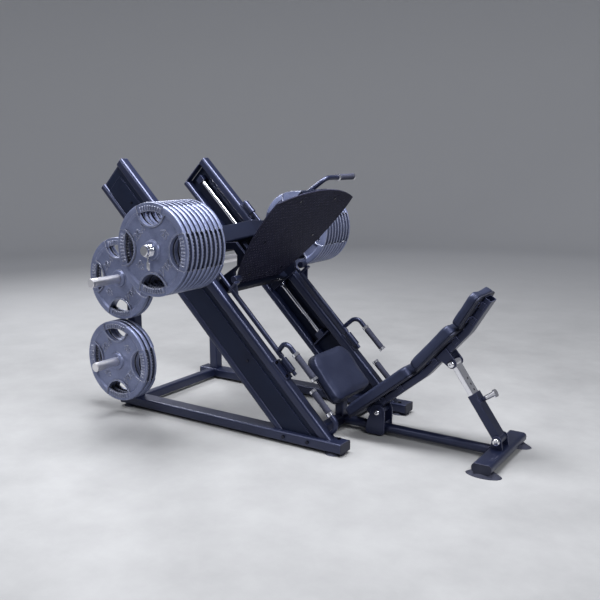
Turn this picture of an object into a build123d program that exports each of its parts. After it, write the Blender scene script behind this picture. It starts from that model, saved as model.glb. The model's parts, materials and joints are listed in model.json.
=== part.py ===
"""Plate-loaded 45 degree leg press, one STEP file for each sub-part, in millimetres.

+X runs from the weight end towards the user's head, +Y across the machine, +Z up.
The origin is on the floor, in the middle of the machine's outer box.
"near" is the -Y side and "far" the +Y side.

The sled runs on two inclined rods. Places on the incline are given as
(t, y, n): t up the slope from the floor, y across, n square to the slope,
measured from the front faces of the side beams.
"""
import os
from math import atan2, cos, radians, sin

from build123d import *

# ---- overall ----
INCLINE = 45.0            # slope of the side beams, degrees
RAIL_FRONT = 442.0        # x of the front ends of the base rails
FOOT_X = RAIL_FRONT - 8   # x where the front faces of the beams would meet the floor
STEEL_WALL = 3.0

# ---- base ----
RAIL_LENGTH, RAIL_WIDTH, RAIL_HEIGHT = 1473.0, 90.0, 50.0
RAIL_Y = 350.0            # middle of each rail
RAIL_BOTTOM = 14.0
RAIL_TOP = RAIL_BOTTOM + RAIL_HEIGHT
CAP = 5.0                 # plastic end caps
FRONT_CROSS_X = RAIL_FRONT - 230
REAR_CROSS_X = RAIL_FRONT - 1375
UPRIGHT_X = RAIL_FRONT - 1375
PEG_X = RAIL_FRONT - 1382
CROSS_WIDTH = 50.0
UPPER_CROSS_Z = 900.0
UPRIGHT = 58.0
FOOT_RADIUS, FOOT_SET_BACK = 52.0, 58.0     # rubber foot under each rail and its distance from the front

# ---- side beams ----
BEAM_IN, BEAM_OUT = 312.0, 372.0      # y of the inner and outer faces
BEAM_DEPTH = 238.0
FRONT_TUBE, REAR_TUBE = 55.0, 40.0    # depths of the two tubes of a beam
BEAM_CORNER = 16.0        # corner radius of both tubes
BEAM_TOP = 1977.0
PANEL_IN, PANEL_OUT, SKIN_OUT = 357.0, 360.0, 366.0
ROD_Y, ROD_N, ROD_RADIUS = 334.0, -118.0, 12.5
ROD_T = (652.0, 1922.0)
CLAMP_LENGTH = 34.0

# ---- weights ----
PLATE_RADIUS, PLATE_THICK, PLATE_WEB = 225.0, 33.0, 16.0
RIM_IN, HUB_RADIUS, PLATE_BORE = 190.0, 46.0, 25.6
GRIP_RADIUS, GRIP_OFFSET = 88.0, 203.0   # arc of each grip hole and its distance from the hub
HOLE_EDGE = 184.0                        # outer edge of the grip holes, from the hub
SLEEVE_T, SLEEVE_N, SLEEVE_RADIUS = 1275.0, 105.0, 24.6
SLEEVE_PLATES = 9
SLEEVE_FLANGE_Y, SLEEVE_END_Y = 446.0, 800.0
FLANGE = 10.0
TIP_CHAMFER, CAP_REACH, SEAM_WIDTH, SEAM_DEPTH = 3.0, 20.0, 2.0, 0.8   # end caps of sleeves and pegs
PEG_END_Y = 650.0
UPPER_PEG_Z, LOWER_PEG_Z = 752.0, 295.0

# ---- safety catches and hand grips ----
SHAFT_Y, SHAFT_N = 323.0, 34.0
SHAFT_ROD, SHAFT_TUBE = 9.5, 13.0
SHAFT_T = (452.0, 1578.0)
SHAFT_TUBE_T = (566.0, 1004.0)
CATCH_T = (1000.0, 1012.0)
CATCH_REACH, CATCH_WIDTH, CATCH_LEAN = 64.0, 34.0, 10.0
HANDLE_Y, HANDLE_N, HANDLE_T, HANDLE_END = 353.0, 130.0, 600.0, 357.0
BEND = 42.0
TUBE_RADIUS, FOAM_RADIUS, RING_RADIUS = 12.5, 16.5, 18.5
BEARING_RADIUS, BEARING_LENGTH = 17.5, 78.0
BEARING_T = (476.0, 1488.0)
GRIP_Y, GRIP_N = 326.0, 60.0
GRIP_ROOT_T, GRIP_END_T = 121.0, 338.0

# ---- sled ----
BOX_T, BOX_N, BOX_Y = (1222.0, 1328.0), (58.0, 150.0), 300.0
BOX_PEAK = 30.0           # rise of the box's front face towards the middle
ARM_IN, ARM_OUT = 268.0, 284.0
LOWER_ARM_T, UPPER_ARM_T = (1040.0, 1106.0), (1236.0, 1312.0)
REST_PIN_RADIUS, REST_PIN_N, REST_PIN_END = 18.0, 88.0, 332.0
HOUSING_RADIUS, HOUSING_LENGTH = 21.0, 64.0
LOWER_TUBE_T, LOWER_TUBE_N, LOWER_TUBE_SIDE = 1036.0, -34.0, 40.0
PLATE_TILT = 41.0         # footplate's normal below the horizontal, degrees
PLATE_OFFSET = -1060.0    # footplate's distance from RAIL_FRONT along that normal
FOOTPLATE_THICK = 6.0
RIB_T, RIB_Y = (1112.0, 1152.0), (90.0, 120.0)

# ---- centre tube, backrest and strut ----
CENTER_RADIUS, CENTER_Z = 24.0, 40.0
T_FOOT_X, T_FOOT_WIDTH, T_FOOT_LENGTH = RAIL_FRONT + 637, 93.0, 500.0
T_FOOT_Z = (18.0, 62.0)
PIVOT = (RAIL_FRONT + 10, 130.0)
STRUT_FOOT = (RAIL_FRONT + 633, 102.0)
STRUT_HEAD = (RAIL_FRONT + 398, 440.0)
FRAME_DEPTH, FRAME_WIDTH = 38.0, 76.0
CHEEK_IN, CHEEK_OUT = 40.0, 46.0      # y of the bracket cheeks
BOLT_RADIUS = 7.5
EYE_RADIUS = 20.0
STRUT_OUTER, STRUT_INNER = (38.0, 76.0), (28.0, 66.0)
OUTER_TOP, INNER_BOTTOM = 240.0, 145.0
HOLE_PITCH, PIN_AT = 30.0, 197.0
PIN_RADIUS = 4.5

PAD_CORNER, PAD_GAP = 32.0, 0.5
# each pad: run of the bent tube, start along that run, length, width, thickness, places of its
# brackets as shares of its length
PADS = {"back_pad_lower": (0, -62, 446, 290, 54, (0.392, 0.667)),
        "back_pad_middle": (1, 16, 292, 270, 54, (0.238, 0.79)),
        "back_pad_head": (2, 8, 190, 224, 47, (0.3, 0.75))}
BRACKET_LENGTH, BRACKET_THICK, BRACKET_REACH, BRACKET_DROP = 34.0, 4.0, 80.0, 28.0

# ---- seat ----
SEAT_TILT = 50.0
SEAT_FACE, SEAT_THICK = 18.0, 50.0    # offset of the top face and the pad's thickness
SEAT_WIDTH, SEAT_LENGTH, SEAT_UP = 358.0, 281.0, 378.0
SEAT_CORNERS = (45.0, 85.0)           # radii of the corners at the hips and at the knees

COS_I, SIN_I = cos(radians(INCLINE)), sin(radians(INCLINE))
UP_RAIL = Vector(-COS_I, 0, SIN_I)
OFF_RAIL = Vector(SIN_I, 0, COS_I)
parts = {}


def on_rail(t, y, n):
    """The point at (t, y, n) on the incline."""
    return Vector(FOOT_X, y, 0) + UP_RAIL * t + OFF_RAIL * n


def rail_box(t, y, n):
    """A block on the incline, each extent given as (low, high)."""
    middle = on_rail(sum(t) / 2, sum(y) / 2, sum(n) / 2)
    place = Plane(origin=middle, x_dir=UP_RAIL, z_dir=(0, 1, 0))
    return place * Box(t[1] - t[0], n[1] - n[0], y[1] - y[0])


def rail_rod(radius, t, y, n):
    """A round bar along the slope from t[0] to t[1]."""
    place = Plane(origin=on_rail(t[0], y, n), x_dir=(0, 1, 0), z_dir=UP_RAIL)
    return extrude(place * Circle(radius), amount=t[1] - t[0])


def rail_slab(face, y0, y1):
    """A face drawn in (t, n), thickened from y0 to y1."""
    place = Plane(origin=(FOOT_X, y0, 0), x_dir=UP_RAIL, z_dir=(0, 1, 0))
    return extrude(place * face, amount=y1 - y0)


def slab(face, y0, y1):
    """A face drawn in (x, z), thickened from y0 to y1."""
    place = Plane(origin=(0, y1, 0), x_dir=(1, 0, 0), z_dir=(0, -1, 0))
    return extrude(place * face, amount=y1 - y0)


def section(width, height, corner, wall=STEEL_WALL):
    """The cross-section of a rectangular tube with rounded edges."""
    inner = RectangleRounded(width - 2 * wall, height - 2 * wall, max(corner - wall, 1))
    return RectangleRounded(width, height, corner) - inner


def straight_tube(start, end, width, height, corner, x_dir, wall=STEEL_WALL):
    """A rectangular tube from start to end; its width lies along x_dir."""
    start, end = Vector(start), Vector(end)
    place = Plane(origin=start, x_dir=x_dir, z_dir=end - start)
    return extrude(place * section(width, height, corner, wall), amount=(end - start).length)


def bent_rod(points, bend, radius):
    """A round bar along straight runs with equal bends."""
    path = FilletPolyline(*points, radius=bend)
    return sweep(Plane(origin=path @ 0, z_dir=path % 0) * Circle(radius), path=path)


def rod(start, end, radius):
    """A round bar between two points."""
    start, end = Vector(start), Vector(end)
    return extrude(Plane(origin=start, z_dir=end - start) * Circle(radius), amount=(end - start).length)


def cross_rod(x, z, radius, y0, y1):
    """A round bar along Y."""
    return rod((x, y0, z), (x, y1, z), radius)


def cross_bolt(x, z, radius, reach, head=15.0, head_thick=9.0):
    """A bolt along Y with a round head outside each side plate."""
    shank = cross_rod(x, z, radius, -reach, reach)
    heads = [cross_rod(x, z, head, s * reach, s * (reach + head_thick)) for s in (-1, 1)]
    return shank + heads[0] + heads[1]


def mirrored(shape):
    return mirror(shape, about=Plane.XZ)


def both(shape):
    """A far-side solid and its near-side twin."""
    return [shape, mirrored(shape)]


def add(name, solids):
    """Keep a node; a single solid or a list of separate ones."""
    parts[name] = solids if isinstance(solids, list) else [solids]


def add_sides(name, *shapes):
    """Keep far-side solids and their twins as two nodes."""
    add(name + "_far", list(shapes))
    add(name + "_near", [mirrored(shape) for shape in shapes])


def above_rails(shape):
    """Trim what reaches below the top of the base rails."""
    size = 4000
    return shape & Pos(0, 0, RAIL_TOP + size / 2) * Box(size, size, size)


def weight_plate(x, y, z):
    """One grip plate with its inner face at y, its axis along Y."""
    disc = Cylinder(PLATE_RADIUS, PLATE_THICK)
    disc = chamfer(disc.edges().filter_by(GeomType.CIRCLE), 3)
    recess_depth = (PLATE_THICK - PLATE_WEB) / 2
    recess = Cylinder(RIM_IN, recess_depth) - Cylinder(HUB_RADIUS, recess_depth)
    for side in (-1, 1):
        disc -= Pos(0, 0, side * (PLATE_THICK - recess_depth) / 2) * recess
    grip = Circle(HOLE_EDGE) & Pos(GRIP_OFFSET, 0) * Circle(GRIP_RADIUS)
    for quarter in range(4):
        disc -= Rot(Z=90 * quarter) * extrude(grip, amount=PLATE_THICK / 2, both=True)
    disc -= Cylinder(PLATE_BORE, PLATE_THICK)
    return Pos(x, y + PLATE_THICK / 2, z) * (Rot(X=90) * disc)


def plate_bar(x, z, y0, y1):
    """A chrome bar that carries plates, with a chamfered tip and the seam of its pressed-in end cap."""
    bar = cross_rod(x, z, SLEEVE_RADIUS, y0, y1)
    bar = chamfer(bar.edges().filter_by(GeomType.CIRCLE).sort_by(Axis.Y)[-1], TIP_CHAMFER)
    seam = cross_rod(x, z, SLEEVE_RADIUS + 1, y1 - CAP_REACH - SEAM_WIDTH, y1 - CAP_REACH)
    return bar - (seam - cross_rod(x, z, SLEEVE_RADIUS - SEAM_DEPTH, y0, y1))


def plate_stack(x, y, z, count):
    """Plates side by side from y outwards, on the far side."""
    one = weight_plate(x, y, z)
    return [Pos(0, index * PLATE_THICK, 0) * one for index in range(count)]


def base():
    """Rails, cross tubes, uprights, caps and feet."""
    rear = RAIL_FRONT - RAIL_LENGTH
    middle = (RAIL_BOTTOM + RAIL_TOP) / 2
    rail = straight_tube((rear + CAP, RAIL_Y, middle), (RAIL_FRONT - CAP, RAIL_Y, middle),
                         RAIL_WIDTH, RAIL_HEIGHT, 8, (0, 1, 0))
    add("base_rails", both(rail))
    inner = RAIL_Y - RAIL_WIDTH / 2
    for name, x in (("front_cross_tube", FRONT_CROSS_X), ("rear_cross_tube", REAR_CROSS_X)):
        ends = (x, -inner, middle), (x, inner, middle)
        add(name, straight_tube(*ends, CROSS_WIDTH, RAIL_HEIGHT, 9, (1, 0, 0)))

    ends = (UPRIGHT_X, RAIL_Y, RAIL_TOP), (UPRIGHT_X, RAIL_Y, 1300)
    tall = straight_tube(*ends, UPRIGHT, UPRIGHT, 7, (1, 0, 0))
    add("rear_uprights", both(tall - rail_box((0, 3000), (0, 600), (-BEAM_DEPTH, 1000))))
    inner = RAIL_Y - UPRIGHT / 2
    ends = (UPRIGHT_X, -inner, UPPER_CROSS_Z), (UPRIGHT_X, inner, UPPER_CROSS_Z)
    add("upper_cross_tube", straight_tube(*ends, CROSS_WIDTH, CROSS_WIDTH, 7, (1, 0, 0)))

    caps = []
    for x, outward in ((rear, 1), (RAIL_FRONT, -1)):
        plane = Plane(origin=(x, RAIL_Y, middle), x_dir=(0, 1, 0), z_dir=(outward, 0, 0))
        caps += both(extrude(plane * RectangleRounded(RAIL_WIDTH, RAIL_HEIGHT, 8), amount=CAP))
    low, high = T_FOOT_Z
    end = (T_FOOT_X, T_FOOT_LENGTH / 2, (low + high) / 2)
    plane = Plane(origin=end, x_dir=(1, 0, 0), z_dir=(0, -1, 0))
    caps += both(extrude(plane * RectangleRounded(T_FOOT_WIDTH, high - low, 18), amount=CAP))
    add("end_caps", caps)

    feet = []
    for x in (RAIL_FRONT - FOOT_SET_BACK, rear + FOOT_SET_BACK):
        feet += both(Pos(x, RAIL_Y, RAIL_BOTTOM / 2) * Cone(FOOT_RADIUS, FOOT_RADIUS - 18, RAIL_BOTTOM))
    pad = loft([Pos(0, 0, 0) * Ellipse(84, 46), Pos(0, 0, T_FOOT_Z[0]) * Ellipse(50, 34)])
    feet += both(Pos(T_FOOT_X, T_FOOT_LENGTH / 2 - 35, 0) * pad)
    add("rubber_feet", feet)


def storage():
    """Chrome pegs on the uprights and the plates kept on the near ones."""
    root = RAIL_Y + UPRIGHT / 2
    pegs = []
    stored = []
    for z, count, gap in ((UPPER_PEG_Z, 2, 13), (LOWER_PEG_Z, 3, 21)):
        pegs += both(plate_bar(PEG_X, z, root, PEG_END_Y))
        stored += plate_stack(PEG_X, root + gap, z, count)
    add("storage_pegs", pegs)
    add("stored_plates_near", [mirrored(plate) for plate in stored])


def side_beams():
    """The two inclined beams with their panels, end plates, guide rods and clamps."""
    width = BEAM_OUT - BEAM_IN
    middle = (BEAM_IN + BEAM_OUT) / 2
    tubes = []
    for depth, n in ((FRONT_TUBE, -FRONT_TUBE / 2), (REAR_TUBE, -BEAM_DEPTH + REAR_TUBE / 2)):
        ends = on_rail(-20, middle, n), on_rail(BEAM_TOP, middle, n)
        tubes.append(above_rails(straight_tube(*ends, width, depth, BEAM_CORNER, (0, 1, 0))))
    add_sides("beam_tubes", *tubes)

    gap = (-BEAM_DEPTH + REAR_TUBE, -FRONT_TUBE)
    panel = rail_box((-20, BEAM_TOP - 8), (PANEL_IN, PANEL_OUT), gap)
    skin = rail_box((-20, BEAM_TOP - 52), (PANEL_OUT, SKIN_OUT), (gap[0], gap[1] - 26))
    add("beam_panels", both(above_rails(panel + skin)))

    ends = []
    for t in ((BEAM_TOP - 6, BEAM_TOP), (ROD_T[0] - 8, ROD_T[0])):
        ends += both(rail_box(t, (BEAM_IN, PANEL_IN), gap))
    add("beam_end_plates", ends)

    add("guide_rods", both(rail_rod(ROD_RADIUS, ROD_T, ROD_Y, ROD_N)))
    clamps = []
    for t in ((ROD_T[0] + 1, ROD_T[0] + 1 + CLAMP_LENGTH), (ROD_T[1] - CLAMP_LENGTH, ROD_T[1])):
        block = rail_box(t, (BEAM_IN + 2, PANEL_IN), (ROD_N - 24, ROD_N + 24))
        clamps += both(block - rail_rod(ROD_RADIUS, (t[0] - 5, t[1] + 5), ROD_Y, ROD_N))
    add("rod_clamps", clamps)


def frame_bolts():
    """Bolts of the rails, the rod clamps and the two lower pivots."""
    bolts = []
    outside = RAIL_Y + RAIL_WIDTH / 2
    for x in (RAIL_FRONT - 332, RAIL_FRONT - 190):
        bolts += both(cross_rod(x, (RAIL_BOTTOM + RAIL_TOP) / 2, 9, outside, outside + 6))
    spot = Vector(RAIL_FRONT - 48, RAIL_Y - 20, RAIL_TOP)
    bolts += both(rod(spot, spot + Vector(0, 0, 6), 9))
    for t in (ROD_T[0] + 18, 1764):
        centre = on_rail(t, 0, ROD_N - 4)
        bolts += both(cross_rod(centre.X, centre.Z, 6, SKIN_OUT, SKIN_OUT + 4))
    for start in BEARING_T:
        for t in (start - 4, start + BEARING_LENGTH + 4):
            bolts += both(rod(on_rail(t, 356, 8), on_rail(t, 356, 15), 8))
    bolts.append(cross_bolt(PIVOT[0], PIVOT[1], BOLT_RADIUS, CHEEK_OUT))
    bolts.append(cross_bolt(STRUT_FOOT[0], STRUT_FOOT[1], BOLT_RADIUS, CHEEK_OUT, 18))
    add("frame_bolts", bolts)


def shaft_supports():
    """Bearings with their brackets that carry the safety shafts."""
    supports = []
    for start in BEARING_T:
        end = start + BEARING_LENGTH
        body = rail_rod(BEARING_RADIUS, (start, end), SHAFT_Y, SHAFT_N)
        plate = rail_box((start - 18, end + 18), (BEAM_IN + 2, BEAM_OUT - 4), (0, 8))
        pedestal = rail_box((start + 10, end - 10), (SHAFT_Y - 9, SHAFT_Y + 9), (8, SHAFT_N))
        bore = rail_rod(SHAFT_ROD + 0.08, (start - 5, end + 5), SHAFT_Y, SHAFT_N)
        supports += both(body + plate + pedestal - bore)
    add("shaft_bearings", supports)


def hand_grips():
    """Fixed grips beside the seat."""
    points = [on_rail(GRIP_ROOT_T, GRIP_Y, 0), on_rail(GRIP_ROOT_T, GRIP_Y, GRIP_N),
              on_rail(GRIP_END_T - 14, GRIP_Y, GRIP_N)]
    add("hand_grip_tubes", both(bent_rod(points, BEND, TUBE_RADIUS)))
    hollow = rail_rod(TUBE_RADIUS, (GRIP_ROOT_T, GRIP_END_T + 20), GRIP_Y, GRIP_N)
    foam = rail_rod(FOAM_RADIUS, (GRIP_ROOT_T + 80, GRIP_END_T - 14), GRIP_Y, GRIP_N) - hollow
    add("hand_grip_foam", both(foam))
    ring = rail_rod(RING_RADIUS, (GRIP_ROOT_T + 62, GRIP_ROOT_T + 80), GRIP_Y, GRIP_N) - hollow
    cap = rail_rod(RING_RADIUS, (GRIP_END_T - 14, GRIP_END_T), GRIP_Y, GRIP_N)
    add("hand_grip_rings", both(ring) + both(cap))


def safety_catch():
    """A turning shaft with its catch and bent handle; the catch and the handle move as one."""
    core = rail_rod(SHAFT_ROD, SHAFT_T, SHAFT_Y, SHAFT_N)
    sleeve = rail_rod(SHAFT_TUBE, SHAFT_TUBE_T, SHAFT_Y, SHAFT_N)
    thick = CATCH_T[1] - CATCH_T[0]
    lug = Pos(0, 0, CATCH_REACH / 2) * Box(thick, CATCH_WIDTH, CATCH_REACH)
    rib_outline = make_face(Polyline((0, 0), (58, 0), (0, CATCH_REACH - 12), (0, 0)))
    rib = Pos(thick / 2, -3, 0) * (Rot(X=90) * extrude(rib_outline, amount=-6))
    place = Plane(origin=on_rail(sum(CATCH_T) / 2, SHAFT_Y, SHAFT_N), x_dir=-UP_RAIL, z_dir=OFF_RAIL)
    catch = place * (Rot(X=-CATCH_LEAN) * (lug + rib))
    points = [on_rail(HANDLE_T, SHAFT_Y, SHAFT_N), on_rail(HANDLE_T, HANDLE_Y, HANDLE_N),
              on_rail(HANDLE_END + 14, HANDLE_Y, HANDLE_N)]
    handle = bent_rod(points, BEND, TUBE_RADIUS)
    add_sides("safety_shaft", core + sleeve + catch + handle)

    hollow = rail_rod(TUBE_RADIUS, (HANDLE_END, HANDLE_T), HANDLE_Y, HANDLE_N)
    foam = (HANDLE_END + 14, HANDLE_END + 150)
    add_sides("safety_grip", rail_rod(FOAM_RADIUS, foam, HANDLE_Y, HANDLE_N) - hollow)
    ring = rail_rod(RING_RADIUS, (foam[1], foam[1] + 16), HANDLE_Y, HANDLE_N) - hollow
    cap = rail_rod(RING_RADIUS, (HANDLE_END, foam[0]), HANDLE_Y, HANDLE_N)
    add_sides("safety_rings", ring, cap)


def footplate_place():
    """Plane of the footplate's tread: x across, y up the plate, z towards the user."""
    normal = Vector(cos(radians(PLATE_TILT)), 0, -sin(radians(PLATE_TILT)))
    return Plane(origin=Vector(RAIL_FRONT, 0, 0) + normal * PLATE_OFFSET, x_dir=(0, 1, 0), z_dir=normal)


def footplate_outline():
    """Narrow at the heel, wide above, with sharp shoulders and an arched top edge."""
    heel, flank, side, wing, shoulder, top = (197, 58), (322, 286), (369, 500), (373, 576), (361, 648), (0, 718)
    half = [Line((0, heel[1]), heel), ThreePointArc(heel, flank, side),
            ThreePointArc(side, wing, shoulder)]
    other = [mirror(edge, about=Plane.YZ) for edge in half]
    arch = ThreePointArc(shoulder, top, (-shoulder[0], shoulder[1]))
    return make_face(half + other + [arch])


def footplate():
    """The tread plate, its bolts and the ribs behind it."""
    place = footplate_place()
    tread = extrude(place * footplate_outline(), amount=-FOOTPLATE_THICK)
    bolts = []
    for across, up in ((165, 650), (225, 375), (150, 130)):
        for side in (-1, 1):
            spot = place.from_local_coords((side * across, up, 0))
            bolts.append(rod(spot, spot + place.z_dir * 2.5, 7))
    add("footplate", tread)
    add("footplate_bolts", bolts)

    behind = extrude(place * Rectangle(3000, 3000), amount=3000)
    behind += extrude(place * Rectangle(3000, 3000), amount=-FOOTPLATE_THICK)
    upright = rail_box((RIB_T[0] - 80, RIB_T[1]), RIB_Y, (60, 560))
    tie = rail_box((RIB_T[1], BOX_T[0]), RIB_Y, (80, 130))
    centre = rail_box((RIB_T[0] - 80, RIB_T[1]), (-15, 15), (60, 600))
    centre_tie = rail_box((RIB_T[1], BOX_T[0]), (-15, 15), (80, 130))
    cap = rail_box((RIB_T[0] - 80, RIB_T[1]), (-RIB_Y[1], RIB_Y[1]), (560, 600))
    side = upright + tie
    add("footplate_ribs", side + mirrored(side) + centre + centre_tie + cap - behind)


def sled():
    """Cross box, arms, bearings, lower tube and catch plates."""
    low, high = BOX_N
    profile = make_face(Polyline((-BOX_Y, low), (BOX_Y, low), (BOX_Y, high),
                                 (0, high + BOX_PEAK), (-BOX_Y, high), (-BOX_Y, low)))
    wall = 4.0
    inner = offset(profile, amount=-wall)
    place = Plane(origin=on_rail(BOX_T[0], 0, 0), x_dir=(0, -1, 0), z_dir=UP_RAIL)
    box = extrude(place * profile, amount=BOX_T[1] - BOX_T[0])
    box = fillet(box.edges().filter_by(lambda edge: edge.length > 250), 10)
    hollow = extrude(place * inner, amount=BOX_T[1] - BOX_T[0] - 2 * wall).moved(Pos(UP_RAIL * wall))
    add("sled_cross_box", box - hollow)

    upper = rail_box(UPPER_ARM_T, (ARM_IN, ARM_OUT), (ROD_N - 30, low))
    foot, face = ROD_N - 30, BOX_T[0]
    t0, t1 = LOWER_ARM_T
    outline = Polyline((t0, foot), (t1, foot), (t1 + 6, 8), (t1 - 18, 124), (t1 + 18, 163),
                       (t1 + 56, 167), (t1 + 86, 128), (face, 128), (face, high), (t1 + 70, 205),
                       (t0 + 48, 205), (t0 + 36, 84), (t0 - 12, 50), (t0, foot))
    add("sled_arms", both(upper) + both(rail_slab(make_face(outline), ARM_IN, ARM_OUT)))

    half = LOWER_TUBE_SIDE / 2
    ends = [on_rail(LOWER_TUBE_T + half, y, LOWER_TUBE_N) for y in (-ARM_IN, ARM_IN)]
    add("sled_lower_tube", straight_tube(*ends, LOWER_TUBE_SIDE, LOWER_TUBE_SIDE, 6, UP_RAIL))

    housings = []
    bushes = []
    for middle in (sum(LOWER_ARM_T) / 2, sum(UPPER_ARM_T) / 2):
        t = (middle - HOUSING_LENGTH / 2, middle + HOUSING_LENGTH / 2)
        stub = rail_box((t[0] + 8, t[1] - 8), (ARM_OUT, ROD_Y), (ROD_N - 16, ROD_N + 16))
        outside = (t[0] - 5, t[1] + 5)
        seat = rail_rod(ROD_RADIUS + 3, outside, ROD_Y, ROD_N)
        housings += both(rail_rod(HOUSING_RADIUS, t, ROD_Y, ROD_N) + stub - seat)
        bush = rail_rod(ROD_RADIUS + 3, (t[0] - 3, t[1] + 3), ROD_Y, ROD_N)
        bushes += both(bush - rail_rod(ROD_RADIUS + 0.05, outside, ROD_Y, ROD_N))
    add("bearing_housings", housings)
    add("bearing_bushes", bushes)

    rest = on_rail(CATCH_T[1] + 0.3 + REST_PIN_RADIUS, 0, REST_PIN_N)
    add("rest_pins", both(cross_rod(rest.X, rest.Z, REST_PIN_RADIUS, ARM_OUT, REST_PIN_END)))


def sleeves():
    """Weight sleeves with flanges, the loaded plates and their spring collars."""
    axis = on_rail(SLEEVE_T, 0, SLEEVE_N)
    flange_end = SLEEVE_FLANGE_Y + FLANGE
    spacer = cross_rod(axis.X, axis.Z, 31, BOX_Y, SLEEVE_FLANGE_Y)
    spacer += cross_rod(axis.X, axis.Z, 44, SLEEVE_FLANGE_Y, flange_end)
    add("sleeve_roots", both(spacer))
    add("weight_sleeves", both(plate_bar(axis.X, axis.Z, flange_end, SLEEVE_END_Y)))
    stack = plate_stack(axis.X, flange_end + 1, axis.Z, SLEEVE_PLATES)
    add("loaded_plates_far", stack)
    add("loaded_plates_near", [mirrored(plate) for plate in stack])

    start = flange_end + 2 + SLEEVE_PLATES * PLATE_THICK
    band = cross_rod(axis.X, axis.Z, SLEEVE_RADIUS + 4.5, start, start + 22)
    band -= cross_rod(axis.X, axis.Z, SLEEVE_RADIUS + 0.2, start - 5, start + 30)
    levers = []
    for x, y in ((-9, start + 5), (9, start + 17)):
        top = (axis.X + x, y, axis.Z - SLEEVE_RADIUS - 2)
        levers.append(rod(top, (axis.X + 2.2 * x, y, axis.Z - 92), 3.5))
    add("spring_collars", both(band + levers[0] + levers[1]))


def top_handle():
    """One grip above the footplate, turned to the far side."""
    t, n, end = 1178.0, 655.0, 367.0
    points = [on_rail(t, 28, 470), on_rail(t, 28, 560), on_rail(t, 84, n), on_rail(t, end - 14, n)]
    path = FilletPolyline(*points, radius=BEND + 10)
    tube = sweep(Plane(origin=path @ 0, z_dir=path % 0) * Circle(TUBE_RADIUS), path=path)
    foot = rail_box((RIB_T[1], t), (-12, 28), (470, 530))
    add("top_handle_tube", tube + foot)
    axis = on_rail(t, 0, n)
    hollow = cross_rod(axis.X, axis.Z, TUBE_RADIUS, 150, end - 14)
    add("top_handle_grip", cross_rod(axis.X, axis.Z, FOAM_RADIUS, 206, end - 14) - hollow)
    ring = cross_rod(axis.X, axis.Z, RING_RADIUS, 188, 206) - hollow
    add("top_handle_rings", [ring, cross_rod(axis.X, axis.Z, RING_RADIUS, end - 14, end)])


def seat():
    """Post with its plate, and the seat pad."""
    tilt = radians(SEAT_TILT)
    normal = Vector(sin(tilt), 0, cos(tilt))
    under = Vector(RAIL_FRONT, 0, 0) + normal * (SEAT_FACE - SEAT_THICK)
    back = Plane(origin=under, x_dir=(0, 1, 0), z_dir=normal)
    outline = Rectangle(SEAT_WIDTH, SEAT_LENGTH)
    outline = fillet(outline.vertices().group_by(Axis.Y)[0], SEAT_CORNERS[0])
    outline = fillet(outline.vertices().group_by(Axis.Y)[-1], SEAT_CORNERS[1])
    add("seat_pad", extrude(back * (Pos(0, SEAT_UP) * outline), amount=SEAT_THICK))
    plate_thick = 6
    plate = extrude(back * (Pos(0, SEAT_UP) * Rectangle(220, 200)), amount=-plate_thick)
    post = straight_tube((FRONT_CROSS_X, 0, RAIL_TOP), (FRONT_CROSS_X, 0, 500), 50, 50, 7, (1, 0, 0))
    plate_back = Plane(origin=under - normal * plate_thick, x_dir=(0, 1, 0), z_dir=normal)
    above = extrude(plate_back * Rectangle(3000, 3000), amount=2000)
    add("seat_post", plate + (post - above))


def center_tube():
    """Centre tube, T foot and the backrest bracket."""
    start = FRONT_CROSS_X + CROSS_WIDTH / 2
    end = T_FOOT_X - T_FOOT_WIDTH / 2
    pipe = rod((start, 0, CENTER_Z), (end, 0, CENTER_Z), CENTER_RADIUS)
    inside = rod((start + 2, 0, CENTER_Z), (end - 2, 0, CENTER_Z), CENTER_RADIUS - STEEL_WALL)
    add("center_tube", pipe - inside)
    low, high = T_FOOT_Z
    reach = T_FOOT_LENGTH / 2 - CAP
    ends = (T_FOOT_X, -reach, (low + high) / 2), (T_FOOT_X, reach, (low + high) / 2)
    add("t_foot_tube", straight_tube(*ends, T_FOOT_WIDTH, high - low, 18, (1, 0, 0)))

    x, z = PIVOT
    base_z = CENTER_Z - CENTER_RADIUS - 6
    edges = Polyline((x - 67, base_z + 22), (x - 67, base_z + 8), (x - 57, base_z),
                     (x + 20, base_z), (x + 38, base_z + 16), (x + 40, z), (x - 36, z + 12),
                     (x - 60, base_z + 60), (x - 67, base_z + 22))
    cheek = make_face(edges) + Pos(x, z) * Circle(38)
    cheek -= Pos(x, z) * Circle(BOLT_RADIUS + 0.3)
    plate = slab(cheek, CHEEK_IN, CHEEK_OUT)
    bracket = plate + mirrored(plate)
    bracket += slab(Pos(x - 15, base_z + 3) * Rectangle(80, 6), -CHEEK_IN, CHEEK_IN)
    for at in (x - 50, x + 25):
        bracket += slab(Pos(at, base_z + 30) * Rectangle(6, 60), -CHEEK_IN, CHEEK_IN)
    pipe = rod((x - 200, 0, CENTER_Z), (x + 200, 0, CENTER_Z), CENTER_RADIUS)
    add("backrest_bracket", bracket - pipe)

    x, z = STRUT_FOOT
    ear = make_face(Polyline((x - 30, high), (x + 30, high), (x + 24, z), (x - 24, z), (x - 30, high)))
    ear += Pos(x, z) * Circle(24)
    ear -= Pos(x, z) * Circle(BOLT_RADIUS + 0.3)
    ear = slab(ear, CHEEK_IN, CHEEK_OUT)
    add("strut_clevis", both(ear))


def frame_line():
    """Middle line of the bent backrest tube in (x, z), from the hip end to the head end."""
    return [(RAIL_FRONT + x, z) for x, z in ((-50, 120), (253, 366), (461, 603), (560, 766))]


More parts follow.
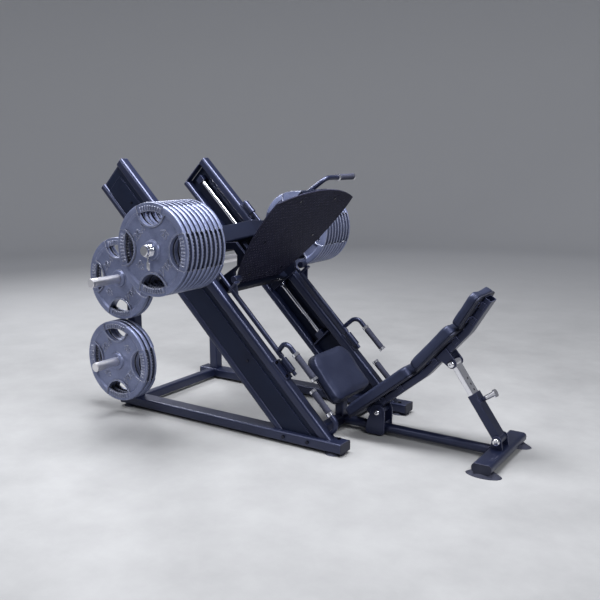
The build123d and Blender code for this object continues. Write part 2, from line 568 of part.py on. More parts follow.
def backrest():
    """Bent tube with hinge barrel and strut lugs, its three pads and the upper strut bolt."""
    line = frame_line()
    points = [(x, 0, z) for x, z in line]
    path = FilletPolyline(*points, radius=150)
    place = Plane(origin=path @ 0, x_dir=(0, 1, 0), z_dir=path % 0)
    spine = sweep(place * section(FRAME_WIDTH, FRAME_DEPTH, 8), path=path)
    x, z = PIVOT
    barrel = cross_rod(x, z, EYE_RADIUS, -CHEEK_IN + 1, CHEEK_IN - 1)
    bore = cross_rod(x, z, BOLT_RADIUS + 0.05, -60, 60)
    hx, hz = STRUT_HEAD
    rise = atan2(line[2][1] - line[1][1], line[2][0] - line[1][0])
    along = Vector(cos(rise), sin(rise))
    across = Vector(-sin(rise), cos(rise))
    middle = Vector(hx, hz)
    lug = make_face(Polyline(*[tuple(middle + along * a + across * b)[:2]
                               for a, b in ((-24, 0), (24, 0), (34, 72), (-34, 72), (-24, 0))]))
    lug += Pos(hx, hz) * Circle(24)
    lug -= Pos(hx, hz) * Circle(BOLT_RADIUS + 0.05)
    lug = slab(lug, FRAME_WIDTH / 2, FRAME_WIDTH / 2 + 6)
    add("backrest_frame", spine + barrel - bore)
    brackets = both(lug)
    bolts = [cross_bolt(hx, hz, BOLT_RADIUS - 0.05, FRAME_WIDTH / 2 + 6, 17)]
    for name, (run, first, length, width, thick, shares) in PADS.items():
        start, end = (Vector(x, 0, z) for x, z in line[run:run + 2])
        forward = (end - start).normalized()
        normal = Vector(-forward.Z, 0, forward.X)
        middle = start + forward * (first + length / 2) + normal * (FRAME_DEPTH / 2 + PAD_GAP)
        place = Plane(origin=middle, x_dir=(0, 1, 0), z_dir=normal)
        add(name, extrude(place * RectangleRounded(width, length, PAD_CORNER), amount=thick))
        for share in shares:
            at = start + forward * (first + length * share)
            bracket, bolt = pad_bracket(Plane(origin=at, x_dir=(0, 1, 0), z_dir=forward))
            brackets += both(bracket)
            bolts += both(bolt)
    add("backrest_brackets", brackets)
    add("backrest_bolts", bolts)


def pad_bracket(place):
    """An angle on the tube's side under a pad, and its bolt; the place's Z runs along the tube."""
    side = FRAME_WIDTH / 2
    top = FRAME_DEPTH / 2 + PAD_GAP / 2
    under = top - BRACKET_THICK
    leg = Pos(side + BRACKET_THICK / 2, top - BRACKET_DROP / 2) * Rectangle(BRACKET_THICK, BRACKET_DROP)
    flange = Rectangle(BRACKET_REACH - side, BRACKET_THICK)
    flange = Pos((side + BRACKET_REACH) / 2, top - BRACKET_THICK / 2) * flange
    angle = extrude(place * (leg + flange), amount=BRACKET_LENGTH / 2, both=True)
    head = place.from_local_coords((BRACKET_REACH - 16, under, 0))
    return angle, rod(head, head - place.y_dir * 6, 8)


def strut():
    """Telescopic strut: outer tube, inner tube with its row of holes, and the sprung pop pin."""
    foot = Vector(STRUT_FOOT[0], 0, STRUT_FOOT[1])
    head = Vector(STRUT_HEAD[0], 0, STRUT_HEAD[1])
    along = (head - foot).normalized()
    length = (head - foot).length
    face = Vector(along.Z, 0, -along.X)

    def tube(first, last, size, wall):
        ends = foot + along * first, foot + along * last
        return straight_tube(*ends, size[1], size[0], 5, (0, 1, 0), wall)

    def pin_line(at, near, far, radius):
        return rod(foot + along * at + face * near, foot + along * at + face * far, radius)

    half = STRUT_OUTER[0] / 2
    wide = CHEEK_IN - 1
    eye = cross_rod(STRUT_FOOT[0], STRUT_FOOT[1], EYE_RADIUS, -wide, wide)
    outer = tube(12, OUTER_TOP, STRUT_OUTER, 4.5) + eye
    outer -= cross_rod(*STRUT_FOOT, BOLT_RADIUS + 0.05, -60, 60)
    collar = Plane(origin=foot + along * 214 + face * (half + 2.5), x_dir=(0, 1, 0), z_dir=face)
    outer += collar * Box(54, 52, 5)
    boss = pin_line(PIN_AT, half - 1, half + 27, 11)
    outer = outer + boss - pin_line(PIN_AT, 0, 120, PIN_RADIUS + 0.3)
    spring_reach = half + 24
    bore = pin_line(PIN_AT, half, spring_reach, 8)
    add("strut_outer_tube", outer - bore)

    last = length - 14
    inner = tube(INNER_BOTTOM, last, STRUT_INNER, 3)
    for index in range(-1, 5):
        inner -= pin_line(PIN_AT + index * HOLE_PITCH, 0, 60, PIN_RADIUS + 1)
    eye_reach = FRAME_WIDTH / 2 - 1
    inner += cross_rod(*STRUT_HEAD, EYE_RADIUS, -eye_reach, eye_reach)
    add("strut_inner_tube", inner - cross_rod(*STRUT_HEAD, BOLT_RADIUS + 5, -60, 60))

    pin = pin_line(PIN_AT, STRUT_INNER[0] / 2 + 0.4, half + 52, PIN_RADIUS)
    flange = pin_line(PIN_AT, half, half + 3, 7.5)
    knob = pin_line(PIN_AT, half + 30, half + 74, 12) + pin_line(PIN_AT, half + 74, half + 84, 19)
    add("pop_pin", pin + flange + knob)
    coil = Helix(pitch=4, height=spring_reach - half - 6, radius=6.2)
    wire = sweep(Plane(origin=coil @ 0, z_dir=coil % 0) * Circle(0.8), path=coil)
    lie = Plane(origin=foot + along * PIN_AT + face * (half + 4.5), x_dir=(0, 1, 0), z_dir=face)
    add("pop_pin_spring", lie * wire)


def main():
    for build in (base, storage, side_beams, frame_bolts, shaft_supports, hand_grips,
                  safety_catch, footplate, sled, sleeves, top_handle, seat, center_tube,
                  backrest, strut):
        build()
    os.makedirs("parts", exist_ok=True)
    for name, solids in parts.items():
        shape = solids[0] if len(solids) == 1 else Compound(children=solids)
        export_step(shape, f"parts/{name}.step")
    print(len(parts), "nodes")


main()
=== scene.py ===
"""The leg press machine's looks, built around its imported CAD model, in metres.

+X runs from the weights towards the user's head, +Y is the far side, +Z is up.
Steel parts keep their CAD shapes and get procedural materials. The pads, foam grips, weight plates,
spring collars and the pop pin's spring are replaced by detailed pieces that ride on the CAD bodies.
The footplate's tread, domed heads on the pivot bolts and boards under the pads are added.
"""

import json
from math import atan2, cos, pi, radians, sin, sqrt

import bmesh
import bpy
from mathutils import Matrix, Vector


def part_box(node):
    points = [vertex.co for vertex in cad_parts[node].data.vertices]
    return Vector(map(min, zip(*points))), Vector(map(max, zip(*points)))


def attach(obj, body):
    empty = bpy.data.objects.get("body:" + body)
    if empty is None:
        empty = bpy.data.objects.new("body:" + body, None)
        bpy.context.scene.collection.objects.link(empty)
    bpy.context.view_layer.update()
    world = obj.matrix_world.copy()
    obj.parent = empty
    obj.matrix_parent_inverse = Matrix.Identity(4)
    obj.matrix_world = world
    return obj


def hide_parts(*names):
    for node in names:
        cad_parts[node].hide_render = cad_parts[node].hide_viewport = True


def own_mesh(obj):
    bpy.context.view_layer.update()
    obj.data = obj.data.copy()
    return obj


# ---- camera and studio ----
CAMERA_PLACE = (2.191, -3.387, 1.424)
CAMERA_YAW, CAMERA_PITCH, CAMERA_ROLL = 33.46, 10.78, 0.22    # degrees
CAMERA_LENS, CAMERA_SENSOR = 46.34, 36.0
FLOOR_RADIUS, WALL_RADIUS, WALL_HEIGHT = 8.0, 11.0, 4.5

# ---- weight plates ----
BORE, HUB, WEB_EDGE, RIM_EDGE = 0.0256, 0.046, 0.184, 0.192   # radii
WEB_HALF = 0.005              # half of the web's thickness
GRIP_ARC, GRIP_PLACE = 0.088, 0.203     # grip hole's arc and its distance from the hub
HOLE_EDGE = 0.184             # outer edge of the grip holes, from the hub
LIP = 0.008                   # raised edge round each grip hole
FRONT_RELIEF, BACK_RELIEF = 0.0045, 0.0100
RIB_STEP, RIBS_EACH_SIDE = 4.6, 4       # ribs on the rim at each grip hole, degrees apart
RIM_INSET = 0.0042            # the rim stands this far back from the hub's face
PLATE_SEGMENTS = 144
RIB_LENGTH_ENDS = (0.002, 0.015)        # each rib stops this far from the grip hole and the plate's edge
RIB_FOOT, RIB_TOP = 0.0046, 0.0022      # half widths of a rib at its foot and top
NUMBER_PLACE, NUMBER_SIZE = 0.112, 0.052
PLATE_NUMBERS = ("45", "20.4", "45", "20.4")
LOADED_COUNT, UPPER_COUNT, LOWER_COUNT = 9, 2, 3
PLATE_WOBBLE = 0.9            # largest turn of a stacked plate about its bore, degrees

# ---- springs and bolts ----
COLLAR_WIRE, COLLAR_TURNS, COLLAR_STEPS = 0.0032, 4.0, 40
COIL_WIRE, COIL_TURNS, COIL_STEPS = 0.0008, 4.5, 24
DOME_RISE, DOME_SOCKET = 0.55, 0.38     # height and socket size as shares of the head's radius
BRIGHT_BOLT_REACH = 0.060     # bolts nearer than this to the centre line are bright

# ---- footplate tread ----
BAR_PITCH, BAR_HEIGHT = 0.0215, 0.0018
BAR_LENGTH, BAR_WIDTH = 0.0090, 0.0028    # both halved
TREAD_MARGIN = 0.014          # bare strip along the plate's edge

# ---- soft parts ----
VOXEL = 0.006
RELAX_PASSES = 9              # smoothing of the voxel steps, which also rounds the rims
PAD_BOARD = 0.008             # thickness of the board under each pad
PAD_START = 0.995             # the pads swell from this share of their size
PAD_CAP = 0.008               # furthest that a point of a pad may move
BOARD_SHARE = 0.992           # the board's size beside the pad's
BOARD_ROUND = 0.0025
PRESSURE, STIFFNESS, BENDING, QUALITY = 4.0, 25.0, 2.0, 5
SIM_FRAMES = 20
EVEN_PASSES = 14

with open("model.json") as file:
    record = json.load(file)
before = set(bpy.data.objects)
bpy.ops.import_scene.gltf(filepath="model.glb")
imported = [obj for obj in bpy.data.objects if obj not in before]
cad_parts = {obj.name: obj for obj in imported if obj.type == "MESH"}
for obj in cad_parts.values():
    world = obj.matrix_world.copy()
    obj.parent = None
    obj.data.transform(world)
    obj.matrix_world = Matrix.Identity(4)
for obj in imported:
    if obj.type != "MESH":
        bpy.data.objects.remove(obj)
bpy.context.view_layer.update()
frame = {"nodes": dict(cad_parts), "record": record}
NODES = frame["nodes"]


# ---------------------------------------------------------------- mesh helpers
def link(name, mesh):
    """A new object in the scene."""
    piece = bpy.data.objects.new(name, mesh)
    bpy.context.scene.collection.objects.link(piece)
    return piece


def mesh_of(name, shape):
    """A mesh from a bmesh, which is freed."""
    bmesh.ops.recalc_face_normals(shape, faces=shape.faces)
    mesh = bpy.data.meshes.new(name)
    shape.to_mesh(mesh)
    shape.free()
    return mesh


def apply_modifiers(piece):
    """Replaces the piece's mesh by its mesh with the modifiers applied."""
    graph = bpy.context.evaluated_depsgraph_get()
    mesh = bpy.data.meshes.new_from_object(piece.evaluated_get(graph))
    piece.modifiers.clear()
    piece.data = mesh


def boolean(piece, tool, operation):
    """Applies one exact boolean to the piece and removes the tool."""
    modifier = piece.modifiers.new("boolean", "BOOLEAN")
    modifier.object, modifier.operation, modifier.solver = tool, operation, "EXACT"
    apply_modifiers(piece)
    bpy.data.objects.remove(tool)


def smooth(mesh, angle=32.0):
    """Smooth shading with sharp edges where faces meet at more than the angle."""
    for face in mesh.polygons:
        face.use_smooth = True
    mesh.set_sharp_from_angle(angle=radians(angle))


def add_lathe(shape, profile, segments, place=None, closed=True, capped=True):
    """Turns (radius, height) points about the local Z axis; a closed profile makes a ring.
    An open profile gets a flat cap over each end unless capped is False."""
    place = place or Matrix()
    rings = []
    for step in range(segments):
        a = 2 * pi * step / segments
        rings.append([shape.verts.new(place @ Vector((r * cos(a), r * sin(a), h))) for r, h in profile])
    count = len(profile) if closed else len(profile) - 1
    for step in range(segments):
        here, there = rings[step], rings[(step + 1) % segments]
        for i in range(count):
            j = (i + 1) % len(profile)
            shape.faces.new((here[i], there[i], there[j], here[j]))
    if capped and not closed:
        shape.faces.new([ring[0] for ring in reversed(rings)])
        shape.faces.new([ring[-1] for ring in rings])


def add_prism(shape, outline, low, high, place=None):
    """A closed prism over a flat outline of (x, y) points, from z = low to high."""
    place = place or Matrix()
    bottom = [shape.verts.new(place @ Vector((x, y, low))) for x, y in outline]
    top = [shape.verts.new(place @ Vector((x, y, high))) for x, y in outline]
    shape.faces.new(list(reversed(bottom)))
    shape.faces.new(top)
    for i in range(len(outline)):
        j = (i + 1) % len(outline)
        shape.faces.new((bottom[i], bottom[j], top[j], top[i]))


def arc(x, y, radius, start, end, steps):
    """Points of an arc about (x, y), angles in radians."""
    return [(x + radius * cos(start + (end - start) * k / steps),
             y + radius * sin(start + (end - start) * k / steps)) for k in range(steps + 1)]


def axis_place(point, direction):
    """A matrix that puts local Z along direction, at point."""
    return Matrix.Translation(point) @ Vector(direction).to_track_quat("Z", "Y").to_matrix().to_4x4()


def solids_of(node):
    """The (lowest corner, highest corner) of each separate solid of a CAD node."""
    shape = bmesh.new()
    shape.from_mesh(NODES[node].data)
    bmesh.ops.remove_doubles(shape, verts=shape.verts, dist=1e-6)
    seen, boxes = set(), []
    for first in shape.verts:
        if first in seen:
            continue
        seen.add(first)
        stack, points = [first], []
        while stack:
            vert = stack.pop()
            points.append(vert.co.copy())
            for edge in vert.link_edges:
                other = edge.other_vert(vert)
                if other not in seen:
                    seen.add(other)
                    stack.append(other)
        low = Vector(min(p[k] for p in points) for k in range(3))
        high = Vector(max(p[k] for p in points) for k in range(3))
        boxes.append((low, high))
    shape.free()
    return sorted(boxes, key=lambda box: tuple(round(v, 4) for v in box[0]))


# ---------------------------------------------------------------- material helpers
class Paint:
    """One material's node tree, with short calls for the nodes used here."""

    def __init__(self, name):
        self.material = bpy.data.materials.new(name)
        self.material.use_nodes = True
        self.tree = self.material.node_tree
        self.shader = self.tree.nodes["Principled BSDF"]
        self.point = self.node("ShaderNodeTexCoord").outputs["Object"]

    def node(self, kind, **settings):
        """A new node with the given settings."""
        made = self.tree.nodes.new(kind)
        for key, value in settings.items():
            setattr(made, key, value)
        return made

    def join(self, source, target):
        """Links a socket to the target, or sets the target to a plain value."""
        if isinstance(source, bpy.types.NodeSocket):
            self.tree.links.new(source, target)
        else:
            target.default_value = source

    def set(self, **values):
        """Plain numbers and colours straight on the shader's sockets."""
        for key, value in values.items():
            socket = self.shader.inputs[key.replace("_", " ")]
            socket.default_value = (*value, 1.0) if isinstance(value, tuple) else value
        return self

    def noise(self, scale, detail=3.0, roughness=0.5):
        """Cloudy noise from 0 to 1."""
        made = self.node("ShaderNodeTexNoise")
        self.join(self.point, made.inputs["Vector"])
        made.inputs["Scale"].default_value = scale
        made.inputs["Detail"].default_value = detail
        made.inputs["Roughness"].default_value = roughness
        return made.outputs["Fac"]

    def cells(self, scale, feature="F1", smoothness=None):
        """Distance to the nearest of many scattered points."""
        made = self.node("ShaderNodeTexVoronoi", feature=feature)
        self.join(self.point, made.inputs["Vector"])
        made.inputs["Scale"].default_value = scale
        if smoothness is not None:
            made.inputs["Smoothness"].default_value = smoothness
        return made.outputs["Distance"]

    def span(self, value, low, high, to_low=0.0, to_high=1.0):
        """The value moved from one range to another and clamped."""
        made = self.node("ShaderNodeMapRange")
        self.join(value, made.inputs["Value"])
        made.inputs["From Min"].default_value = low
        made.inputs["From Max"].default_value = high
        made.inputs["To Min"].default_value = to_low
        made.inputs["To Max"].default_value = to_high
        return made.outputs["Result"]

    def math(self, operation, a, b=0.0):
        """One step of arithmetic."""
        made = self.node("ShaderNodeMath", operation=operation)
        self.join(a, made.inputs[0])
        self.join(b, made.inputs[1])
        return made.outputs[0]

    def mix(self, share, a, b):
        """A colour between two colours."""
        made = self.node("ShaderNodeMix", data_type="RGBA")
        self.join(share, made.inputs["Factor"])
        for key, value in ((6, a), (7, b)):
            self.join((*value, 1.0) if isinstance(value, tuple) else value, made.inputs[key])
        return made.outputs[2]

    def bump(self, height, distance, strength=1.0, normal=None):
        """A normal tilted by a height pattern."""
        made = self.node("ShaderNodeBump")
        self.join(height, made.inputs["Height"])
        made.inputs["Distance"].default_value = distance
        made.inputs["Strength"].default_value = strength
        if normal is not None:
            self.join(normal, made.inputs["Normal"])
        return made.outputs["Normal"]

    def edges(self, radius, low, high):
        """(mask that is 1 along edges, used for wear and for a painted highlight, softened normal)."""
        bevel = self.node("ShaderNodeBevel", samples=4)
        bevel.inputs["Radius"].default_value = radius
        plain = self.node("ShaderNodeNewGeometry").outputs["Normal"]
        dot = self.node("ShaderNodeVectorMath", operation="DOT_PRODUCT")
        self.join(bevel.outputs["Normal"], dot.inputs[0])
        self.join(plain, dot.inputs[1])
        wear_and_painted_highlight = self.math("SUBTRACT", 1.0, dot.outputs["Value"])
        broken = self.math("ADD", wear_and_painted_highlight, self.span(self.noise(60.0), 0.3, 0.7, -0.04, 0.04))
        return self.span(broken, low, high), bevel.outputs["Normal"]

    def crevice_shade(self, distance):
        """Mask for painted shade: 1 on open surfaces, falling towards 0 in the piece's own grooves."""
        made = self.node("ShaderNodeAmbientOcclusion", samples=6, only_local=True)
        made.inputs["Distance"].default_value = distance
        return made.outputs["AO"]

    def finish(self, color, roughness, normal=None):
        """Joins the results to the shader and gives the material."""
        for key, value in (("Base Color", color), ("Roughness", roughness), ("Normal", normal)):
            if value is not None:
                self.join(value, self.shader.inputs[key])
        return self.material


COOL = (0.62, 0.67, 1.0)      # the dark finishes reflect bluish


def powder_coat(name, dark, light, wear_and_painted_highlight, gloss, shine):
    """Satin powder coat: orange-peel bump, slow colour drift, dust, and paler edges that are partly wear
    and partly a painted highlight.
    """
    paint = Paint(name).set(Specular_IOR_Level=shine, Specular_Tint=COOL)
    drift = paint.span(paint.noise(5.0, 4.0), 0.35, 0.7)
    base = paint.mix(drift, dark, light)
    edge, soft = paint.edges(0.004, 0.05, 0.30)
    # Paler edges: partly worn paint, partly a painted highlight along the rounded corners.
    color = paint.mix(paint.math("MULTIPLY", edge, 0.75), base, wear_and_painted_highlight)
    dust = paint.span(paint.noise(12.0, 4.0, 0.5), 0.35, 0.75, gloss, gloss + 0.07)
    peel = paint.noise(700.0, 2.0)
    return paint.finish(color, dust, paint.bump(peel, 0.0003, 0.35, soft))


def hammertone():
    """Grey-blue hammertone enamel on cast iron, rubbed bright along its edges, with painted shade in its
    grooves and between stacked plates.
    """
    paint = Paint("plate_enamel").set(Metallic=0.45, Specular_IOR_Level=0.7)
    dimples = paint.cells(210.0, "SMOOTH_F1", 0.6)
    drift = paint.span(paint.noise(14.0, 5.0, 0.6), 0.35, 0.7)
    base = paint.mix(drift, (0.115, 0.137, 0.245), (0.190, 0.219, 0.365))
    speck = paint.span(dimples, 0.15, 0.75)
    base = paint.mix(paint.math("MULTIPLY", speck, 0.3), base, (0.30, 0.33, 0.47))
    edge, soft = paint.edges(0.0035, 0.04, 0.26)
    color = paint.mix(paint.math("MULTIPLY", edge, 0.9), base, (0.74, 0.75, 0.82))
    # Painted shade: near-black blue painted into the grooves, round the hub and in the gaps between
    # stacked plates.
    outside_painted_shade = paint.span(paint.crevice_shade(0.040), 0.22, 0.78)
    color = paint.mix(outside_painted_shade, (0.006, 0.008, 0.020), color)
    rough = paint.span(paint.noise(45.0, 5.0, 0.6), 0.3, 0.75, 0.30, 0.48)
    return paint.finish(color, rough, paint.bump(dimples, 0.0007, 0.45, soft))


def plated(name, color, gloss, brushed=0.0):
    """Chrome or zinc plating with faint smears and, if brushed, fine lines."""
    paint = Paint(name).set(Metallic=1.0)
    smear = paint.noise(22.0, 6.0, 0.7)
    rough = paint.span(smear, 0.3, 0.75, gloss, gloss + 0.12)
    tint = paint.mix(paint.span(smear, 0.3, 0.8), color, tuple(0.86 * c for c in color))
    fine = paint.noise(1500.0, 2.0)
    return paint.finish(tint, rough, paint.bump(fine, 0.0001, 0.02 + brushed))


def bolt_finish():
    """Bright plated bolts at the pivots near the centre line, blackened bolts elsewhere."""
    paint = Paint("bolt_finish").set(Metallic=1.0)
    split = paint.node("ShaderNodeSeparateXYZ")
    paint.join(paint.point, split.inputs[0])
    off_centre = paint.math("ABSOLUTE", split.outputs["Y"])
    away = paint.span(off_centre, BRIGHT_BOLT_REACH, BRIGHT_BOLT_REACH + 0.001)
    smear = paint.span(paint.noise(30.0, 5.0, 0.6), 0.3, 0.8)
    bright = paint.mix(smear, (0.86, 0.86, 0.90), (0.68, 0.68, 0.74))
    black = paint.mix(smear, (0.020, 0.021, 0.030), (0.040, 0.042, 0.060))
    color = paint.mix(away, bright, black)
    rough = paint.span(smear, 0.0, 1.0, 0.14, 0.30)
    return paint.finish(color, rough, paint.bump(paint.noise(900.0, 2.0), 0.0002, 0.1))


def foam_rubber():
    """Closed-cell foam of the hand grips."""
    paint = Paint("foam_grip").set(Specular_IOR_Level=0.25, Specular_Tint=COOL)
    pores = paint.cells(900.0)
    cloud = paint.noise(90.0, 5.0, 0.6)
    color = paint.mix(paint.span(cloud, 0.3, 0.7), (0.030, 0.032, 0.048), (0.052, 0.054, 0.078))
    return paint.finish(color, paint.span(cloud, 0.3, 0.7, 0.75, 0.92), paint.bump(pores, 0.0006, 0.5))


def molded(name, dark, light, rough):
    """Moulded rubber or plastic with a fine erosion texture."""
    paint = Paint(name).set(Specular_IOR_Level=0.4, Specular_Tint=COOL)
    grit = paint.noise(420.0, 4.0, 0.7)
    color = paint.mix(paint.span(paint.noise(16.0, 4.0), 0.35, 0.7), dark, light)
    edge, soft = paint.edges(0.003, 0.06, 0.35)
    color = paint.mix(paint.math("MULTIPLY", edge, 0.35), color, (0.11, 0.11, 0.13))
    gloss = paint.span(grit, 0.3, 0.7, rough, rough + 0.15)
    return paint.finish(color, gloss, paint.bump(grit, 0.0004, 0.4, soft))


def vinyl():
    """Dark blue-black upholstery vinyl with a pebbled grain."""
    paint = Paint("pad_vinyl").set(Specular_IOR_Level=0.5, Specular_Tint=COOL)
    grain = paint.cells(520.0, "SMOOTH_F1", 0.4)
    wrinkle = paint.noise(160.0, 5.0, 0.6)
    height = paint.math("ADD", grain, paint.math("MULTIPLY", wrinkle, 0.6))
    drift = paint.span(paint.noise(7.0, 4.0), 0.35, 0.7)
    color = paint.mix(drift, (0.011, 0.014, 0.031), (0.017, 0.021, 0.042))
    rough = paint.span(paint.noise(30.0, 5.0), 0.3, 0.7, 0.38, 0.5)
    return paint.finish(color, rough, paint.bump(height, 0.0007, 0.35))


def tread_coat():
    """Rough dark coat of the footplate with a paler cut edge."""
    paint = Paint("tread_coat").set(Specular_IOR_Level=0.13, Specular_Tint=COOL)
    grit = paint.noise(520.0, 4.0, 0.7)
    scuff = paint.span(paint.noise(9.0, 6.0, 0.7), 0.4, 0.75)
    color = paint.mix(scuff, (0.007, 0.007, 0.019), (0.013, 0.013, 0.030))
    edge, soft = paint.edges(0.003, 0.05, 0.30)
    color = paint.mix(paint.math("MULTIPLY", edge, 0.8), color, (0.20, 0.20, 0.27))
    rough = paint.span(grit, 0.3, 0.7, 0.5, 0.72)
    return paint.finish(color, rough, paint.bump(grit, 0.0005, 0.5, soft))


# Third colour of each coat: its paler edges, partly wear and partly a painted highlight.
FRAME_PAINT = powder_coat("frame_paint", (0.004, 0.006, 0.018), (0.008, 0.011, 0.030), (0.14, 0.15, 0.27),
                          gloss=0.32, shine=0.8)
# Painted shade: the recessed beam panels get a darker copy of the frame paint.
SHADED_PANEL_PAINT = powder_coat("shaded_panel_paint", (0.002, 0.004, 0.013), (0.003, 0.007, 0.021), (0.08, 0.09, 0.17),
                          gloss=0.40, shine=0.35)
SLED_PAINT = powder_coat("sled_paint", (0.003, 0.004, 0.010), (0.005, 0.007, 0.016), (0.12, 0.13, 0.22),
                         gloss=0.42, shine=0.20)
ENAMEL = hammertone()
CHROME = plated("chrome", (0.90, 0.90, 0.94), 0.05)
PEG_CHROME = plated("peg_chrome", (0.92, 0.91, 0.93), 0.30, 0.1)
ZINC = plated("zinc_steel", (0.70, 0.70, 0.74), 0.26, 0.1)
FOAM = foam_rubber()
RUBBER = molded("foot_rubber", (0.024, 0.025, 0.036), (0.038, 0.040, 0.055), 0.50)
PLASTIC = molded("cap_plastic", (0.013, 0.014, 0.021), (0.023, 0.024, 0.034), 0.45)
VINYL = vinyl()
TREAD = tread_coat()
BOLTS = bolt_finish()

SLOT_FINISH = {"frame_paint": FRAME_PAINT, "chrome": CHROME, "zinc_steel": ZINC, "foam_grip": FOAM,
               "rubber": RUBBER, "black_plastic": PLASTIC, "vinyl": VINYL, "tread_plate": TREAD,
               "weight_plate": ENAMEL}
SLED_NODES = ("sled_cross_box", "sled_arms", "sled_lower_tube", "footplate_ribs", "sleeve_roots")


def finish_cad_nodes():
    """Gives every CAD node its material."""
    slots = {part["node"]: part["material_slot"] for part in frame["record"]["subparts"]}
    for node, piece in NODES.items():
        material = SLOT_FINISH[slots[node]]
        # The beam panels take the darker copy of the frame paint, as painted shade.
        if node == "beam_panels":
            material = SHADED_PANEL_PAINT
        elif node in SLED_NODES:
            material = SLED_PAINT
        elif node == "storage_pegs":
            material = PEG_CHROME
        elif node in ("frame_bolts", "backrest_bolts", "footplate_bolts"):
            material = BOLTS
        for slot in piece.material_slots:
            slot.material = material


# ---------------------------------------------------------------- weight plates
def grip_lens(arc_radius, edge, steps=28):
    """Outline of a grip hole on +X: an arc towards the hub, closed by the rim's circle."""
    x = (edge ** 2 - arc_radius ** 2 + GRIP_PLACE ** 2) / (2 * GRIP_PLACE)
    y = sqrt(edge ** 2 - x ** 2)
    turn = atan2(y, x - GRIP_PLACE)
    inner = arc(GRIP_PLACE, 0, arc_radius, turn, 2 * pi - turn, steps)
    rim = atan2(y, x)
    outer = arc(0, 0, edge, -rim, rim, steps)
    return inner[:-1] + outer[:-1]


def quarter_tool(name, outline, spans):
    """Prisms over the outline at each of the four grip holes."""
    shape = bmesh.new()
    for quarter in range(4):
        for low, high in spans:
            add_prism(shape, outline, low, high, Matrix.Rotation(quarter * pi / 2, 4, "Z"))
    return link(name, mesh_of(name, shape))


def number_mesh(text):
    """Raised digits lying flat, centred on the origin."""
    curve = bpy.data.curves.new("number", "FONT")
    curve.body, curve.size = text, NUMBER_SIZE
    curve.align_x, curve.align_y = "CENTER", "CENTER"
    curve.extrude, curve.bevel_depth, curve.resolution_u = 0.0020, 0.0009, 3
    holder = link("number", curve)
    graph = bpy.context.evaluated_depsgraph_get()
    mesh = bpy.data.meshes.new_from_object(holder.evaluated_get(graph))
    bpy.data.objects.remove(holder)
    return mesh


def plate_mesh(thick, radius):
    """One grip plate lying in XY, its lettered front towards +Z."""
    half = thick / 2
    rim = half - RIM_INSET
    side = [(BORE, half - 0.001), (BORE + 0.001, half), (HUB - 0.003, half), (HUB, half - 0.002),
            (HUB + 0.004, WEB_HALF), (WEB_EDGE, WEB_HALF), (RIM_EDGE, rim - 0.0015),
            (RIM_EDGE + 0.002, rim),
            (radius - 0.007, rim), (radius - 0.0035, rim - 0.001), (radius - 0.001, rim - 0.0035),
            (radius, rim - 0.007)]
    profile = side + [(r, -h) for r, h in reversed(side)]
    shape = bmesh.new()
    add_lathe(shape, profile, PLATE_SEGMENTS)
    plate = link("plate", mesh_of("plate", shape))

    lip = grip_lens(GRIP_ARC + LIP, radius - 0.004)
    boolean(plate, quarter_tool("lips", lip, [(-rim + 0.0002, rim - 0.0002)]), "UNION")
    hole = grip_lens(GRIP_ARC, HOLE_EDGE)
    boolean(plate, quarter_tool("holes", hole, [(-thick, thick)]), "DIFFERENCE")
    disc = arc(GRIP_PLACE, 0, GRIP_ARC, 0, 2 * pi, 64)[:-1]
    relief = [(rim - FRONT_RELIEF, thick), (-thick, -rim + BACK_RELIEF)]
    boolean(plate, quarter_tool("relief", disc, relief), "DIFFERENCE")

    shape = bmesh.new()
    shape.from_mesh(plate.data)
    bpy.data.objects.remove(plate)
    add_ribs(shape, rim, radius)
    for index, text in enumerate(PLATE_NUMBERS):
        digits = number_mesh(text)
        turn = Matrix.Rotation(pi / 4 + index * pi / 2, 4, "Z")
        out = Matrix.Translation((NUMBER_PLACE, 0, WEB_HALF))
        digits.transform(turn @ out @ Matrix.Rotation(-pi / 2, 4, "Z"))
        shape.from_mesh(digits)
    mesh = mesh_of("plate", shape)
    smooth(mesh)
    return mesh


def add_ribs(shape, rim, radius):
    """Finger ribs across the rim at each grip hole, on the front."""
    low, high = rim - 0.006, rim + 0.0005
    inner, outer = HOLE_EDGE + RIB_LENGTH_ENDS[0], radius - RIB_LENGTH_ENDS[1]
    slope = 0.002
    faces = ((3, 2, 1, 0), (4, 5, 6, 7), (0, 1, 5, 4), (1, 2, 6, 5), (2, 3, 7, 6), (3, 0, 4, 7))
    for quarter in range(4):
        for step in range(-RIBS_EACH_SIDE, RIBS_EACH_SIDE + 1):
            place = Matrix.Rotation(quarter * pi / 2 + radians(step * RIB_STEP), 4, "Z")
            corners = [(inner, -RIB_FOOT, low), (outer, -RIB_FOOT, low),
                       (outer, RIB_FOOT, low), (inner, RIB_FOOT, low),
                       (inner + slope, -RIB_TOP, high), (outer - slope, -RIB_TOP, high),
                       (outer - slope, RIB_TOP, high), (inner + slope, RIB_TOP, high)]
            verts = [shape.verts.new(place @ Vector(corner)) for corner in corners]
            for face in faces:
                shape.faces.new([verts[k] for k in face])


def stack_of(name, plate, axis_x, axis_z, inner_y, thick, count, body):
    """Plates side by side along Y from inner_y outwards, fronts facing out."""
    side = 1 if inner_y > 0 else -1
    shape = bmesh.new()
    for index in range(count):
        middle = inner_y + side * thick * (index + 0.5)
        wobble = radians(PLATE_WOBBLE * sin(2.3 * index + axis_z * 7))
        facing = Matrix.Rotation(pi if side > 0 else 0, 4, "Z") @ Matrix.Rotation(pi / 2, 4, "X")
        place = Matrix.Translation((axis_x, middle, axis_z)) @ facing @ Matrix.Rotation(wobble, 4, "Z")
        copy = plate.copy()
        copy.transform(place)
        shape.from_mesh(copy)
        bpy.data.meshes.remove(copy)
    mesh = bpy.data.meshes.new(name)
    shape.to_mesh(mesh)
    shape.free()
    mesh.materials.append(ENAMEL)
    smooth(mesh)
    piece = link(name, mesh)
    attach(piece, body)
    return piece


